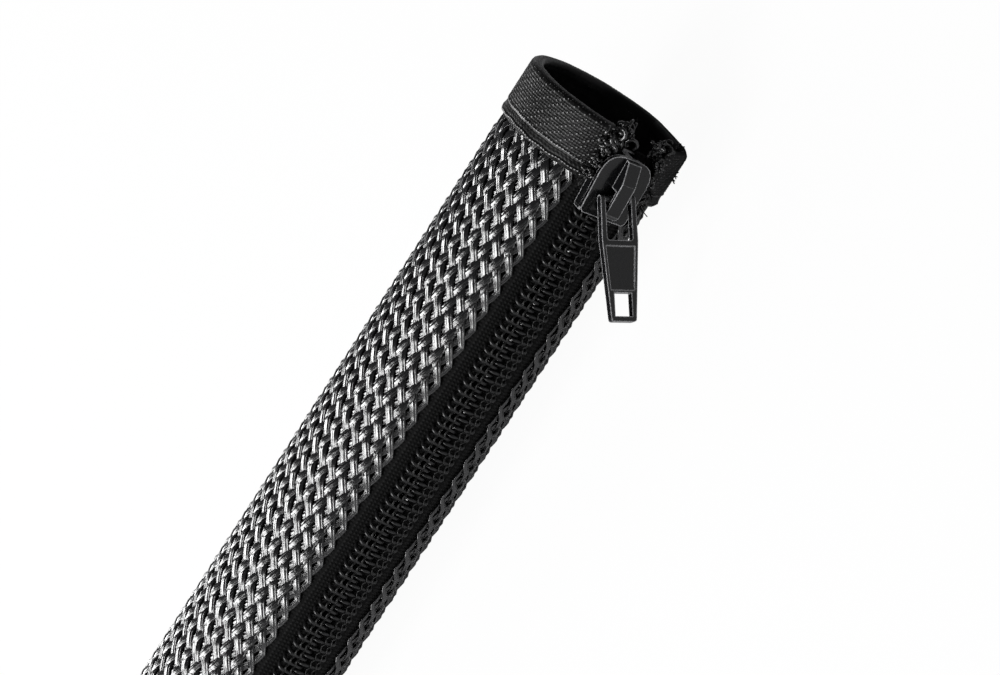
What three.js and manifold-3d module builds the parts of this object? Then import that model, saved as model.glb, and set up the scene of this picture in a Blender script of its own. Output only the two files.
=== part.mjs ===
// A zippered cable sleeve: a braided tube with a coil zipper along its side and webbing folded over
// both ends. Millimetres, +Z up. The tube lies along X with its mouth at +X, and its zipper faces -Y.
import * as THREE from 'three';
import { mergeVertices } from 'three/addons/utils/BufferGeometryUtils.js';
import Module from 'manifold-3d';

const wasm = await Module();
wasm.setup();

const degrees = Math.PI / 180;

// Sleeve
const sleeveLength = 300;
const sleeveRadius = 13.5;
const underFlat = 0.75; // how much lower the tube's crown would be without the flat it lies on
const braidWall = 1.1;
const braidRelief = 0.35;
const braidRepeat = 3.4; // along the tube, from one crossing to the next
const braidRibWidth = 2.4;
const zipperOpening = 12.7; // between the two edges of the braid
const layerGap = 0.15; // between layers that are sewn together

// Webbing folded over each end
const webbingThickness = 0.75;
const webbingOutside = 9.2;
const webbingInside = 8.4;
const webbingStandOff = 0.4; // past the braid's crests
const webbingTurns = 6; // facets round the fold

// Zipper tapes
const tapeThickness = 0.55;
const tapeLevel = 11.3; // outer face of the tapes, from the tube's axis
const tapeSlit = 2.5;
const tapeFlatWidth = 10;
const tapeHem = 2.6; // what lies under the braid

// Coils
const coilPitch = 1.5;
const coilWidth = 6.2;
const coilHeight = 1.65;
const coilHead = 0.62;
const coilOverlap = 0.9; // how far the heads of one side reach into the other
const coilRoot = 0.75;
const coilSeat = 0.05;

// Slider
const sliderLength = 10.4;
const sliderNoseWidth = 8.9;
const sliderTailWidth = 8.4;
const sliderFromRim = 2.7; // from the rim to the slider's nose
const sliderPlate = 0.8;
const sliderClearance = 0.3;
const sliderSideClearance = 0.65;
const sliderSkew = 4 * degrees;
const flangeLength = 6.6;
const dividerLength = 2.4;
const dividerWidth = 1.2;

// Crown on the slider
const crownWidth = 2.4;
const crownLength = 9.2;
const crownHeight = 2.25;
const crownNoseHeight = 0.8;
const crownRamp = 3.2;
const crownTailDrop = 0.7;
const crownWall = 0.5;
const crownFromNose = 0.3;
const seatGap = 0.05; // between pieces that are fixed face to face

// Lock spring under the crown
const springThickness = 0.25;
const pawlLength = 0.7;
const pawlWidth = 0.9;

// Pull tab
const pullLength = 19.3;
const pullThickness = 1.3;
const pullRingWidth = 5.8;
const pullWaistWidth = 6;
const pullTipWidth = 4.2;
const pullArm = 0.75;
const pullRing = 6.3; // from the pin's axis to the crossbar
const pullCrossbar = 0.9;
const pullPanel = 7.2;
const pullPanelDepth = 0.25;
const pullPanelBorder = 0.5;
const pullWindowLength = 3.6;
const pullWindowWidth = 2.9;
const pullWindowMargin = 0.4;
const pullTipMargin = 0.8;
const pullCorner = 0.5;
const pinRadius = 0.6;
const pinFromNose = 6.4;
const pinHeight = 0.95; // above the slider's upper plate
const pinNotchLength = 2.6;
const pinNotchGap = 0.2;
const pullSkew = 18 * degrees;
const pullLift = 36 * degrees; // out of the zipper's plane, as it stands at rest

// Bottom stop
const stopLength = 2.4;
const stopWidth = 8;
const stopHeight = 1.9;
const stopFromWebbing = 1.5;

// Heights above the tube's axis, measured out through the zipper
const coilBase = tapeLevel + coilSeat;
const coilTop = coilBase + coilHeight;
const upperPlateUnder = coilTop + sliderClearance;
const upperPlateTop = upperPlateUnder + sliderPlate;
const lowerPlateTop = tapeLevel - tapeThickness - sliderClearance;
const lowerPlateUnder = lowerPlateTop - sliderPlate;
const flangeUnder = tapeLevel + sliderClearance;
const crownFoot = upperPlateTop + seatGap;
const crownTop = crownFoot + crownHeight;
const pinLevel = upperPlateTop + pinHeight;

// Layers of the wall, as offsets from the sleeve's radius
const neckOuter = -webbingThickness + webbingStandOff - layerGap;
const hemOuter = -braidWall - layerGap;
const hemInner = hemOuter - tapeThickness + 0.05;
const liningOuter = hemInner - layerGap;
const liningInner = liningOuter - webbingThickness;
const chordLevel = tapeLevel + webbingThickness - webbingStandOff + 2 * layerGap + 0.05;
const underLevel = sleeveRadius - underFlat;

// Places along the tube
const rim = sleeveLength / 2;
const foldRadius = (webbingStandOff - liningInner) / 2;
const wallEnd = rim - foldRadius - layerGap;
const braidEdge = Math.asin(zipperOpening / 2 / sleeveRadius);
const sliderNose = rim - sliderFromRim;
const sliderMiddle = sliderNose - sliderLength / 2;
const stopStart = -rim + webbingOutside + stopFromWebbing;
const coilStart = stopStart + stopLength + layerGap;
const coilEnd = sliderNose - dividerLength - sliderClearance - 0.4;

const black = {
  braid: new THREE.MeshStandardMaterial({ color: 0x17181a, roughness: 0.32, metalness: 0 }),
  webbing: new THREE.MeshStandardMaterial({ color: 0x1b1b1c, roughness: 0.8, metalness: 0 }),
  tape: new THREE.MeshStandardMaterial({ color: 0x141415, roughness: 0.85, metalness: 0 }),
  coil: new THREE.MeshStandardMaterial({ color: 0x1a1a1c, roughness: 0.4, metalness: 0 }),
  paint: new THREE.MeshStandardMaterial({ color: 0x1c1c1e, roughness: 0.38, metalness: 0.5 }),
};
const steel = new THREE.MeshStandardMaterial({ color: 0x8d8f92, roughness: 0.35, metalness: 1 });

// Turns a closed geometry into a solid that can be joined and cut, and back again.
function solidOf(geometry) {
  const bare = geometry.clone();
  bare.deleteAttribute('normal');
  bare.deleteAttribute('uv');
  const merged = mergeVertices(bare, 1e-4);
  const vertProperties = new Float32Array(merged.attributes.position.array);
  const triVerts = new Uint32Array(merged.index.array);
  return new wasm.Manifold(new wasm.Mesh({ numProp: 3, vertProperties, triVerts }));
}

function geometryOf(solid) {
  const mesh = solid.getMesh();
  const geometry = new THREE.BufferGeometry();
  geometry.setAttribute('position', new THREE.BufferAttribute(new Float32Array(mesh.vertProperties), 3));
  geometry.setIndex(new THREE.BufferAttribute(new Uint32Array(mesh.triVerts), 1));
  return geometry;
}

function named(name, geometry, material) {
  const mesh = new THREE.Mesh(geometry, material);
  mesh.name = name;
  return mesh;
}

// A closed mesh from its corners and triangles, turned to face out.
function closedGeometry(corners, triangles) {
  let volume = 0;
  for (const [a, b, c] of triangles) {
    volume += corners[a].dot(new THREE.Vector3().crossVectors(corners[b], corners[c]));
  }
  const facing = volume > 0 ? triangles : triangles.map(([a, b, c]) => [a, c, b]);
  const geometry = new THREE.BufferGeometry().setFromPoints(corners);
  geometry.setIndex(facing.flat());
  return geometry;
}

const along = new THREE.Vector3(1, 0, 0);
const outward = new THREE.Vector3(0, -1, 0);
const upward = new THREE.Vector3(0, 0, 1);

function shapeOf(points) {
  return new THREE.Shape(points.map(([a, b]) => new THREE.Vector2(a, b)));
}

// A plate drawn in (x, z), from one height above the axis to another.
function plate(shape, from, to) {
  const geometry = new THREE.ExtrudeGeometry(shape, { depth: to - from, bevelEnabled: false, curveSegments: 5 });
  geometry.applyMatrix4(new THREE.Matrix4().makeBasis(along, upward, outward));
  return geometry.translate(0, -from, 0);
}

// A block drawn in (x, height above the axis), centred on the zipper's line.
function profileBlock(shape, width) {
  const geometry = new THREE.ExtrudeGeometry(shape, { depth: width, bevelEnabled: false });
  const across = upward.clone().negate();
  geometry.applyMatrix4(new THREE.Matrix4().makeBasis(along, outward, across));
  return geometry.translate(0, 0, width / 2);
}

// A bar drawn in (height above the axis, z), running along the tube.
function longBar(shape, from, to) {
  const geometry = new THREE.ExtrudeGeometry(shape, { depth: to - from, bevelEnabled: false });
  geometry.applyMatrix4(new THREE.Matrix4().makeBasis(outward, upward, along.clone().negate()));
  return geometry.translate(to, 0, 0);
}

// Distance from the axis to the wall in a direction, measured from the zipper round over the top.
function wallRadius(angle, offset, acrossZipper) {
  let radius = sleeveRadius + offset;
  if (Math.sin(angle) < 0) radius = Math.min(radius, (underLevel + offset) / -Math.sin(angle));
  if (acrossZipper && Math.cos(angle) > 0) {
    radius = Math.min(radius, (chordLevel + offset) / Math.cos(angle));
  }
  return radius;
}

function wallPoint(x, angle, offset, acrossZipper = false) {
  const radius = wallRadius(angle, offset, acrossZipper);
  return new THREE.Vector3(x, -radius * Math.cos(angle), radius * Math.sin(angle));
}

// Directions round the tube from one to another, with a facet edge at each corner of its flats.
function directions(first, last, step, offset) {
  const turn = 2 * Math.PI;
  const under = Math.acos((underLevel + offset) / (sleeveRadius + offset));
  const chord = Math.acos((chordLevel + offset) / (sleeveRadius + offset));
  const bends = [chord, 1.5 * Math.PI - under, 1.5 * Math.PI + under, turn - chord];
  const stops = [first, ...bends.filter((angle) => angle > first + 0.03 && angle < last - 0.03), last];
  const angles = [first];
  for (let i = 1; i < stops.length; i += 1) {
    const count = Math.ceil((stops[i] - stops[i - 1]) / step);
    for (let k = 1; k <= count; k += 1) {
      angles.push(stops[i - 1] + ((stops[i] - stops[i - 1]) * k) / count);
    }
  }
  return angles;
}

// The braid is one wall, its woven relief a lattice of raised and sunk crossings.
function braidedSleeve() {
  const angles = directions(braidEdge, 2 * Math.PI - braidEdge, braidRibWidth / sleeveRadius, 0);
  const bodyStart = webbingOutside + layerGap;
  const rows = Math.round((sleeveLength - 2 * bodyStart) / braidRepeat);
  const outer = [{ x: -wallEnd, neck: true }];
  for (let i = 0; i <= rows; i += 1) {
    const x = -rim + bodyStart + ((sleeveLength - 2 * bodyStart) * i) / rows;
    outer.push({ x, neck: i === 0 || i === rows });
  }
  outer.push({ x: wallEnd, neck: true });
  const corners = [];
  const across = angles.length;
  outer.forEach(({ x, neck }, row) => {
    angles.forEach((angle, column) => {
      const atEdge = column === 0 || column === across - 1;
      const sunk = atEdge || (row + column) % 2 === 0;
      const woven = sunk ? -braidRelief : 0;
      corners.push(wallPoint(x, angle, neck ? neckOuter : woven));
    });
  });
  const inner = corners.length;
  for (const x of [-wallEnd, wallEnd]) {
    for (const angle of angles) corners.push(wallPoint(x, angle, -braidWall));
  }
  const triangles = [];
  const quad = (a, b, c, d) => triangles.push([a, b, c], [a, c, d]);
  const last = outer.length - 1;
  for (let row = 0; row < last; row += 1) {
    for (let column = 0; column < across - 1; column += 1) {
      const a = row * across + column;
      if ((row + column) % 2 === 0) quad(a, a + 1, a + across + 1, a + across);
      else quad(a + 1, a + across + 1, a + across, a);
    }
  }
  for (let column = 0; column < across - 1; column += 1) {
    const near = inner + column;
    const far = near + across;
    quad(near, far, far + 1, near + 1);
    quad(column, near, near + 1, column + 1);
    quad(last * across + column, last * across + column + 1, far + 1, far);
  }
  for (let row = 0; row < last; row += 1) {
    triangles.push([inner, row * across, (row + 1) * across]);
    triangles.push([inner + across - 1, (row + 2) * across - 1, (row + 1) * across - 1]);
  }
  triangles.push([inner, last * across, inner + across]);
  triangles.push([inner + across - 1, inner + 2 * across - 1, (last + 1) * across - 1]);
  return closedGeometry(corners, triangles);
}

// Sweeps a section of (x, offset) points round the tube, closed on itself or capped at both ends.
function sweptRound(section, angles, closed) {
  const corners = [];
  for (const angle of angles) {
    for (const [x, offset] of section) corners.push(wallPoint(x, angle, offset, true));
  }
  const triangles = [];
  const count = section.length;
  const spans = closed ? angles.length : angles.length - 1;
  for (let k = 0; k < spans; k += 1) {
    const here = k * count;
    const there = ((k + 1) % angles.length) * count;
    for (let i = 0; i < count; i += 1) {
      const j = (i + 1) % count;
      triangles.push([here + i, here + j, there + j], [here + i, there + j, there + i]);
    }
  }
  if (!closed) {
    const flat = section.map(([x, offset]) => new THREE.Vector2(x, offset));
    const end = (angles.length - 1) * count;
    for (const face of THREE.ShapeUtils.triangulateShape(flat, [])) {
      const turns = THREE.ShapeUtils.area(face.map((i) => flat[i])) * THREE.ShapeUtils.area(flat);
      const [a, b, c] = turns > 0 ? face : [face[0], face[2], face[1]];
      triangles.push([a, c, b], [end + a, end + b, end + c]);
    }
  }
  return closedGeometry(corners, triangles);
}

// The webbing's section: out along the braid, round the rim and back along the inside.
function webbingSection(side) {
  const middle = (webbingStandOff + liningInner) / 2;
  const points = [[webbingOutside, webbingStandOff]];
  for (let k = 0; k <= webbingTurns; k += 1) {
    const angle = Math.PI / 2 - (Math.PI * k) / webbingTurns;
    points.push([foldRadius * (1 - Math.cos(angle)), middle + foldRadius * Math.sin(angle)]);
  }
  points.push([webbingInside, liningInner], [webbingInside, liningOuter]);
  points.push([foldRadius - 0.1, liningOuter], [foldRadius - 0.1, webbingStandOff - webbingThickness]);
  points.push([webbingOutside, webbingStandOff - webbingThickness]);
  return points.map(([fromRim, offset]) => [side * (rim - fromRim), offset]);
}

// Melted lumps along a cut end of the webbing: distance from the rim, size, and lift off the tape.
const upperLumps = [
  [0.9, 0.9, 0.5],
  [2.6, 0.75, 0.35],
  [4.6, 0.65, 0.3],
  [7.6, 0.7, 0.3],
];
const lowerLumps = [
  [1.4, 0.75, 0.4],
  [3.2, 0.9, 0.6],
  [5.2, 0.75, 0.45],
  [7.2, 0.9, 0.55],
  [8.7, 0.7, 0.4],
];

function mouthBinding() {
  const endSide = sliderNoseWidth / 2 + sliderSideClearance;
  const endAngle = Math.atan(endSide / (chordLevel + webbingStandOff)) / 2;
  const angles = directions(endAngle, 2 * Math.PI - endAngle, 10 * degrees, webbingStandOff);
  const gap = [
    [rim - webbingOutside - 1, -endSide],
    [rim + 1, -endSide],
    [rim + 1, endSide],
    [rim - webbingOutside - 1, endSide],
  ];
  let webbing = solidOf(sweptRound(webbingSection(1), angles, false));
  webbing = webbing.subtract(solidOf(plate(shapeOf(gap), 0, 2 * sleeveRadius)));
  const addLumps = (lumps, side) => {
    for (const [fromRim, size, lift] of lumps) {
      const lump = new THREE.IcosahedronGeometry(size, 1);
      const level = chordLevel + lift;
      lump.translate(rim - fromRim, -level, side * (endSide + size * 0.3));
      webbing = webbing.add(solidOf(lump));
    }
  };
  addLumps(upperLumps, 1);
  addLumps(lowerLumps, -1);
  return geometryOf(webbing);
}

function endBinding() {
  const angles = directions(0, 2 * Math.PI, 10 * degrees, webbingStandOff);
  angles.pop();
  return sweptRound(webbingSection(-1), angles, true);
}

// One tape: flat beside the chain, then down and round under the edge of the braid.
function zipperTape(side) {
  const hemStart = braidEdge + 0.45 * degrees;
  const hemEnd = hemStart + tapeHem / (sleeveRadius + hemOuter);
  const hemLine = (offset) => {
    const line = [];
    for (let k = 0; k <= 3; k += 1) {
      const angle = hemStart + ((hemEnd - hemStart) * k) / 3;
      const radius = sleeveRadius + offset;
      line.push([radius * Math.cos(angle), radius * Math.sin(angle)]);
    }
    return line;
  };
  const under = tapeLevel - tapeThickness;
  const outline = [
    [tapeLevel, tapeSlit / 2],
    [tapeLevel, tapeFlatWidth / 2],
    ...hemLine(hemOuter),
    ...hemLine(hemInner).reverse(),
    [under, tapeFlatWidth / 2 - tapeThickness / 3],
    [under, tapeSlit / 2],
  ];
  const points = outline.map(([level, across]) => [level, side * across]);
  return longBar(shapeOf(points), -wallEnd, wallEnd);
}

// One coil: a stitched-down strip with a head at every pitch, reaching past the middle.
function zipperCoil(side) {
  const teeth = Math.floor((coilEnd - coilStart - coilPitch) / coilPitch);
  const shift = side > 0 ? 0 : coilPitch / 2;
  const tip = (-side * coilOverlap) / 2;
  const root = side * coilRoot;
  const points = [[coilStart, (side * coilWidth) / 2], [coilStart, root]];
  for (let k = 0; k < teeth; k += 1) {
    const x = coilStart + shift + (k + 0.3) * coilPitch;
    points.push([x, root], [x, tip], [x + coilHead, tip], [x + coilHead, root]);
  }
  const end = coilStart + (teeth + 1) * coilPitch;
  points.push([end, root], [end, (side * coilWidth) / 2]);
  return plate(shapeOf(points), coilBase, coilTop);
}

function bottomStop() {
  const half = stopWidth / 2;
  const corner = 0.8;
  const start = stopStart;
  const end = stopStart + stopLength;
  const outline = [
    [start + corner, -half],
    [end, -half],
    [end, half],
    [start + corner, half],
    [start, half - corner],
    [start, corner - half],
  ];
  return plate(shapeOf(outline), coilBase, coilBase + stopHeight);
}

// Slider pieces are drawn about the slider's middle, with the nose towards +X.
const nose = sliderLength / 2;
const channel = coilWidth / 2 + sliderSideClearance;
const pinPlace = nose - pinFromNose;

function plateOutline() {
  const wide = sliderNoseWidth / 2;
  const slim = sliderTailWidth / 2;
  const shape = new THREE.Shape();
  shape.moveTo(-nose, -slim + 0.5);
  shape.lineTo(-nose + 0.5, -slim);
  shape.lineTo(nose * 0.3, -wide);
  shape.quadraticCurveTo(nose, -wide, nose, -wide * 0.3);
  shape.lineTo(nose, wide * 0.3);
  shape.quadraticCurveTo(nose, wide, nose * 0.3, wide);
  shape.lineTo(-nose + 0.5, slim);
  shape.lineTo(-nose, slim - 0.5);
  return shape;
}

function sliderBody() {
  let body = solidOf(plate(plateOutline(), upperPlateUnder, upperPlateTop));
  body = body.add(solidOf(plate(plateOutline(), lowerPlateUnder, lowerPlateTop)));
  for (const side of [-1, 1]) {
    const flange = [
      [-nose, side * channel],
      [flangeLength - nose, side * channel],
      [flangeLength - nose, (side * sliderNoseWidth) / 2 - side * 0.12],
      [0.5 - nose, (side * sliderTailWidth) / 2],
      [-nose, (side * sliderTailWidth) / 2 - side * 0.2],
    ];
    if (side > 0) flange.reverse();
    body = body.add(solidOf(plate(shapeOf(flange), flangeUnder, upperPlateUnder + 0.1)));
  }
  const divider = [
    [nose - dividerLength, 0],
    [nose - dividerLength * 0.5, -dividerWidth / 2],
    [nose - 0.2, -dividerWidth / 2],
    [nose - 0.2, dividerWidth / 2],
    [nose - dividerLength * 0.5, dividerWidth / 2],
  ];
  body = body.add(solidOf(plate(shapeOf(divider), lowerPlateTop - 0.1, upperPlateUnder + 0.1)));
  const slot = pawlLength / 2 + 0.15;
  const slotHalf = pawlWidth / 2 + 0.15;
  const hole = [
    [pawlPlace - slot, -slotHalf],
    [pawlPlace + slot, -slotHalf],
    [pawlPlace + slot, slotHalf],
    [pawlPlace - slot, slotHalf],
  ];
  return geometryOf(body.subtract(solidOf(plate(shapeOf(hole), upperPlateUnder - 0.3, upperPlateTop + 0.3))));
}

const crownNose = nose - crownFromNose;
const crownTail = crownNose - crownLength;
const notchTop = pinLevel + pinRadius + pinNotchGap;
const springRoom = crownTop - 2 * crownWall - crownFoot;
const pawlPlace = crownNose - crownRamp - pawlLength / 2;

function sliderCrown() {
  const notch = pinNotchLength / 2;
  const profile = [
    [crownNose, crownFoot],
    [crownNose, crownFoot + crownNoseHeight],
    [crownNose - crownRamp, crownTop],
    [crownTail + crownTailDrop, crownTop],
    [crownTail, crownTop - crownTailDrop],
    [crownTail, crownFoot],
    [pinPlace - notch, crownFoot],
    [pinPlace - notch, notchTop],
    [pinPlace + notch, notchTop],
    [pinPlace + notch, crownFoot],
  ];
  const crown = solidOf(profileBlock(shapeOf(profile), crownWidth));
  const roomNose = crownNose - crownRamp * 0.6;
  const room = [
    [pinPlace, crownFoot - 0.5],
    [roomNose, crownFoot - 0.5],
    [roomNose, crownFoot + springRoom * 0.6],
    [roomNose - crownRamp * 0.4, crownFoot + springRoom],
    [pinPlace, crownFoot + springRoom],
  ];
  return geometryOf(crown.subtract(solidOf(profileBlock(shapeOf(room), crownWidth - 2 * crownWall))));
}

function lockSpring() {
  const leafUnder = crownFoot + springRoom * 0.55 - springThickness;
  const back = pinPlace + pinRadius + pinNotchGap;
  const front = pawlPlace + pawlLength / 2;
  const profile = [
    [back, leafUnder],
    [front - pawlLength, leafUnder],
    [front - pawlLength, coilTop + sliderClearance],
    [front, coilTop + sliderClearance],
    [front, leafUnder + springThickness],
    [back, leafUnder + springThickness],
  ];
  return profileBlock(shapeOf(profile), pawlWidth);
}

// The pull is drawn about its pin's axis, lying flat along -X.
function pullTab() {
  const ringHalf = pullRingWidth / 2;
  const waistHalf = pullWaistWidth / 2;
  const tipHalf = pullTipWidth / 2;
  const end = pullLength - pinRadius;
  const outline = new THREE.Shape();
  outline.moveTo(0, -ringHalf);
  outline.lineTo(0, ringHalf);
  outline.lineTo(-pullRing, waistHalf);
  outline.lineTo(-end + pullCorner, tipHalf);
  outline.quadraticCurveTo(-end, tipHalf, -end, tipHalf - pullCorner);
  outline.lineTo(-end, pullCorner - tipHalf);
  outline.quadraticCurveTo(-end, -tipHalf, -end + pullCorner, -tipHalf);
  outline.lineTo(-pullRing, -waistHalf);
  const half = pullThickness / 2;
  let pull = solidOf(plate(outline, -half, half));
  const inside = ringHalf - pullArm;
  const ringHole = new THREE.Shape();
  ringHole.moveTo(1, -inside);
  ringHole.lineTo(1, inside);
  ringHole.lineTo(pullCorner - pullRing, inside);
  ringHole.quadraticCurveTo(-pullRing, inside, -pullRing, inside - pullCorner);
  ringHole.lineTo(-pullRing, pullCorner - inside);
  ringHole.quadraticCurveTo(-pullRing, -inside, pullCorner - pullRing, -inside);
  pull = pull.subtract(solidOf(plate(ringHole, -pullThickness, pullThickness)));
  const windowFar = pullTipMargin - end;
  const windowNear = windowFar + pullWindowLength;
  const windowHalf = pullWindowWidth / 2;
  const window = [
    [windowFar, -windowHalf],
    [windowNear, -windowHalf],
    [windowNear, windowHalf],
    [windowFar, windowHalf],
  ];
  pull = pull.subtract(solidOf(plate(shapeOf(window), -pullThickness, pullThickness)));
  const panelNear = -pullRing - pullCrossbar;
  const panelFar = Math.max(panelNear - pullPanel, windowNear + pullWindowMargin);
  const widthAt = (x) => waistHalf + ((tipHalf - waistHalf) * (-x - pullRing)) / (end - pullRing);
  const nearHalf = widthAt(panelNear) - pullPanelBorder;
  const farHalf = widthAt(panelFar) - pullPanelBorder;
  const panel = [[panelFar, -farHalf], [panelNear, -nearHalf], [panelNear, nearHalf], [panelFar, farHalf]];
  for (const face of [-1, 1]) {
    const floor = face * (half - pullPanelDepth);
    const clear = face * (half + 1);
    const recess = plate(shapeOf(panel), Math.min(floor, clear), Math.max(floor, clear));
    pull = pull.subtract(solidOf(recess));
  }
  const bar = (radius, length, middle) => {
    const cylinder = new THREE.CylinderGeometry(radius, radius, length, 16);
    return solidOf(cylinder.rotateX(Math.PI / 2).translate(0, 0, middle));
  };
  pull = pull.add(bar(pinRadius, 2 * inside + 0.4, 0));
  for (const side of [-1, 1]) pull = pull.add(bar(half, pullArm, side * (ringHalf - pullArm / 2)));
  return geometryOf(pull);
}

const sleeve = new THREE.Group();
sleeve.add(named('braided_sleeve', braidedSleeve(), black.braid));
sleeve.add(named('zipper_tape_upper', zipperTape(1), black.tape));
sleeve.add(named('zipper_tape_lower', zipperTape(-1), black.tape));
sleeve.add(named('zipper_coil_upper', zipperCoil(1), black.coil));
sleeve.add(named('zipper_coil_lower', zipperCoil(-1), black.coil));
sleeve.add(named('bottom_stop', bottomStop(), black.coil));
sleeve.add(named('mouth_binding', mouthBinding(), black.webbing));
sleeve.add(named('end_binding', endBinding(), black.webbing));

const slider = new THREE.Group();
slider.position.set(sliderMiddle, 0, 0);
slider.rotation.y = -sliderSkew;
slider.add(named('slider_body', sliderBody(), black.paint));
slider.add(named('slider_crown', sliderCrown(), black.paint));
slider.add(named('slider_lock_spring', lockSpring(), steel));
sleeve.add(slider);

const pull = named('pull_tab', pullTab(), black.paint);
pull.position.set(pinPlace, -pinLevel, 0);
pull.rotation.set(0, -pullSkew, pullLift, 'YZX');
slider.add(pull);

// The origin is under the middle of the whole, on the surface that it lies on.
sleeve.updateMatrixWorld(true);
const bounds = new THREE.Box3().setFromObject(sleeve, true);
const middle = bounds.getCenter(new THREE.Vector3());
sleeve.position.set(-middle.x, -middle.y, -bounds.min.z);

export default sleeve;
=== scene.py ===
# Zippered cable sleeve: woven filament tube, coil zipper, painted slider and pull, webbing round both ends.
# Shapes are worked out in millimetres and go to metres as each mesh is made.
import bpy
import math
import numpy as np
from mathutils import Matrix, Vector


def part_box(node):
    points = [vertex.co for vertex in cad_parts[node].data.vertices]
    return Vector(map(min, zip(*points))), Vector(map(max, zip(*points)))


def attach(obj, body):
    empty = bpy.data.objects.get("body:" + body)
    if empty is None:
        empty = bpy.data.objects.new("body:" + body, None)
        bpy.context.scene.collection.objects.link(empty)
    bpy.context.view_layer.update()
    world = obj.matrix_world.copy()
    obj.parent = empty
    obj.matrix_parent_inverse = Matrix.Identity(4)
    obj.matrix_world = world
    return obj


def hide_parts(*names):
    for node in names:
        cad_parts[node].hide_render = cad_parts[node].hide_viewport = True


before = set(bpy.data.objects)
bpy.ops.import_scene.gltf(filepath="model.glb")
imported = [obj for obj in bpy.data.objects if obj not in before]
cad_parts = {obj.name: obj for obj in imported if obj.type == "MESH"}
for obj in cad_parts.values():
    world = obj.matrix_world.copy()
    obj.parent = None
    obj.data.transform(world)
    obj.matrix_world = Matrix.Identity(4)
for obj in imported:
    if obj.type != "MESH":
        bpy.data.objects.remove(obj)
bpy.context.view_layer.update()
mm = 0.001
turn = 2 * math.pi

# the tube's own place, read off the frame: its axis, its two rims and the face of its tapes
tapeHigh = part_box("zipper_tape_upper")
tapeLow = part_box("zipper_tape_lower")
tapeLevel = 11.3  # from the axis out to the face of the tapes
axisY = tapeHigh[0].y / mm + tapeLevel
axisZ = (tapeHigh[1].z + tapeLow[0].z) / 2 / mm
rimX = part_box("mouth_binding")[1].x / mm
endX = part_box("end_binding")[0].x / mm
rng = np.random.default_rng(7)


def place(x, out, up):
    # x along the tube, out through the zipper, up: all from the tube's axis
    x, out, up = np.broadcast_arrays(x, out, up)
    return np.stack([x, axisY - out, axisZ + up], axis=-1).astype(float)


def wallRadius(angle, offset, flatDepth=0.75, chord=None):
    radius = wall["radius"] + offset
    down = np.maximum(-np.sin(angle), 1e-6)
    result = np.minimum(radius, (wall["radius"] - flatDepth + offset) / down)
    if chord is not None:
        ahead = np.maximum(np.cos(angle), 1e-6)
        result = np.minimum(result, (chord + offset) / ahead)
    return result


def wallPlace(x, angle, offset, chord=None):
    # angle goes round the tube from the zipper, over the top
    radius = wallRadius(angle, offset, chord=chord)
    return place(x, radius * np.cos(angle), radius * np.sin(angle))


def addMesh(name, points, faces, body, material, replaced=(), layers=None):
    mesh = bpy.data.meshes.new(name)
    mesh.from_pydata((np.asarray(points) * mm).tolist(), [], faces)
    mesh.update()
    for layerName, values in (layers or {}).items():
        layer = mesh.attributes.new(layerName, "FLOAT_VECTOR", "POINT")
        layer.data.foreach_set("vector", np.asarray(values, dtype=np.float32).ravel())
    mesh.polygons.foreach_set("use_smooth", [True] * len(mesh.polygons))
    piece = bpy.data.objects.new(name, mesh)
    bpy.context.scene.collection.objects.link(piece)
    mesh.materials.append(material)
    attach(piece, body)
    if replaced:
        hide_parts(*replaced)
    return piece


def ringFaces(count, around, start, closedEnds=True, looped=False):
    # quads between rings of points, with a cap at each end unless the last ring meets the first
    ring = np.arange(around)
    nextOne = (ring + 1) % around
    rows = np.arange(count if looped else count - 1)[:, None]
    here, there = rows * around + start, (rows + 1) % count * around + start
    quads = np.stack([here + ring, here + nextOne, there + nextOne, there + ring], axis=-1)
    faces = quads.reshape(-1, 4).tolist()
    if closedEnds and not looped:
        faces.append((start + ring[::-1]).tolist())
        faces.append((start + (count - 1) * around + ring).tolist())
    return faces


def unit(vectors):
    return vectors / np.maximum(np.linalg.norm(vectors, axis=-1, keepdims=True), 1e-9)


def roundThread(path, thickness, sides, start=0):
    # a thread along a path, its section kept square to a fixed direction
    path = np.asarray(path, float)
    tangent = unit(np.gradient(path, axis=0))
    side = unit(np.cross(tangent, (0.0, -1.0, 0.0)) + 1e-6)
    lift = np.cross(side, tangent)
    angles = np.arange(sides) * turn / sides
    thickness = np.broadcast_to(thickness, len(path))
    ring = side[:, None] * np.cos(angles)[:, None] + lift[:, None] * np.sin(angles)[:, None]
    points = path[:, None] + ring * thickness[:, None, None] / 2
    return points.reshape(-1, 3), ringFaces(len(path), sides, start)


def softened(points, steps):
    # a Catmull-Rom run through the points, some steps to each span
    p = np.asarray(points, float)
    p = np.vstack([2 * p[0] - p[1], p, 2 * p[-1] - p[-2]])
    t = np.arange(steps)[None, :, None] / steps
    a, b, c, d = (p[i:len(p) - 3 + i][:, None] for i in range(4))
    bend = 2 * a - 5 * b + 4 * c - d
    twist = 3 * b - a - 3 * c + d
    run = 0.5 * (2 * b + (c - a) * t + bend * t ** 2 + twist * t ** 3)
    return np.vstack([run.reshape(-1, 3), p[-2]])


# materials
def startMaterial(name, color, roughness, metallic=0.0):
    material = bpy.data.materials.new(name)
    material.use_nodes = True
    nodes = material.node_tree.nodes
    shader = nodes["Principled BSDF"]
    shader.inputs["Base Color"].default_value = (*color, 1)
    shader.inputs["Roughness"].default_value = roughness
    shader.inputs["Metallic"].default_value = metallic
    return material, nodes, material.node_tree.links, shader


def varied(nodes, links, source, target, low, high):
    spread = nodes.new("ShaderNodeMapRange")
    spread.inputs["From Min"].default_value = 0.3
    spread.inputs["From Max"].default_value = 0.7
    spread.inputs["To Min"].default_value = low
    spread.inputs["To Max"].default_value = high
    links.new(source, spread.inputs["Value"])
    links.new(spread.outputs["Result"], target)


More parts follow.
